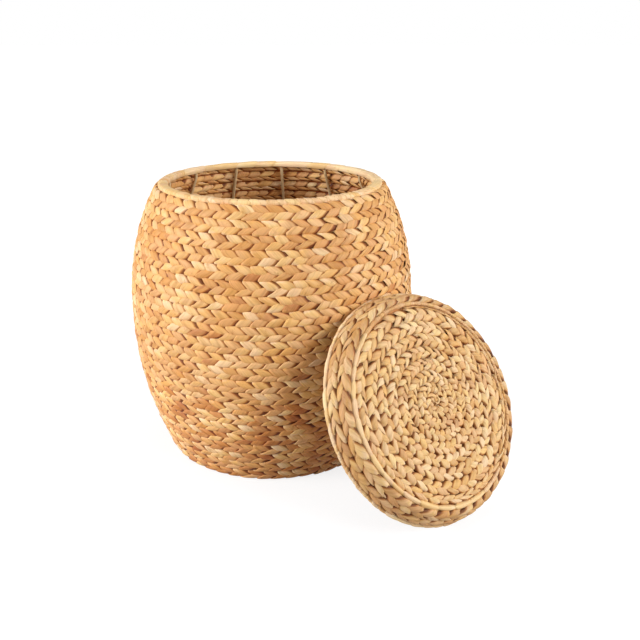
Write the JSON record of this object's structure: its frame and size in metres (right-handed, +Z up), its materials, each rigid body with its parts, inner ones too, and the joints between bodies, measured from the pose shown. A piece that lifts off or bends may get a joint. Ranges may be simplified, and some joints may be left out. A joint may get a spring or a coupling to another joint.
{
  "type": "laundry hamper",
  "caption": "Round, full-bellied laundry hamper of plaited water hyacinth leaf on a steel wire frame, with a lift-off lid leaning against its wall.",
  "frame": {"origin": "centre of the base on the floor, on the basket's upright axis", "axes": "+Z up; -Y to the front; the lid leans on the front right, between +X and -Y"},
  "size_m": [0.5903, 0.5856, 0.4348],
  "materials": {
    "wall_braid": "dry plaited leaf, satin, straw to orange brown",
    "lid_braid": "dry plaited leaf, satin, pale straw",
    "leaf_binding": "flat leaf wound smooth, satin",
    "painted_wire": "beige brown paint, semi-gloss"
  },
  "bodies": {
    "basket": {"wall_braid_01": "wall_braid", "wall_braid_02": "wall_braid", "wall_braid_03": "wall_braid", "wall_braid_04": "wall_braid", "wall_braid_05": "wall_braid", "wall_braid_06": "wall_braid", "wall_braid_07": "wall_braid", "wall_braid_08": "wall_braid", "wall_braid_09": "wall_braid", "wall_braid_10": "wall_braid", "wall_braid_11": "wall_braid", "wall_braid_12": "wall_braid", "wall_braid_13": "wall_braid", "wall_braid_14": "wall_braid", "wall_braid_15": "wall_braid", "wall_braid_16": "wall_braid", "wall_braid_17": "wall_braid", "wall_braid_18": "wall_braid", "wall_braid_19": "wall_braid", "wall_braid_20": "wall_braid", "wall_braid_21": "wall_braid", "wall_braid_22": "wall_braid", "base_braid": "wall_braid", "rim_binding": "leaf_binding", "rim_hoop": "painted_wire", "base_hoop": "painted_wire", "upright_rod_01": "painted_wire", "upright_rod_02": "painted_wire", "upright_rod_03": "painted_wire", "upright_rod_04": "painted_wire", "upright_rod_05": "painted_wire", "upright_rod_06": "painted_wire", "upright_rod_07": "painted_wire", "upright_rod_08": "painted_wire", "upright_rod_09": "painted_wire", "upright_rod_10": "painted_wire", "upright_rod_11": "painted_wire", "upright_rod_12": "painted_wire", "upright_rod_13": "painted_wire", "base_wire_long": "painted_wire", "base_wire_left": "painted_wire", "base_wire_right": "painted_wire"},
    "lid": {"lid_top_braid": "lid_braid", "lid_skirt_braid_1": "lid_braid", "lid_skirt_braid_2": "lid_braid", "lid_piping": "leaf_binding", "lid_mouth_binding": "leaf_binding", "lid_top_hoop": "painted_wire", "lid_mouth_hoop": "painted_wire", "lid_wire_long": "painted_wire", "lid_wire_left": "painted_wire", "lid_wire_right": "painted_wire"}
  },
  "joints": [
    {"name": "lid_lift", "type": "slide", "parent": "basket", "child": "lid", "axis": [0, 0, 1], "range_m": [0, 0.45]}
  ]
}
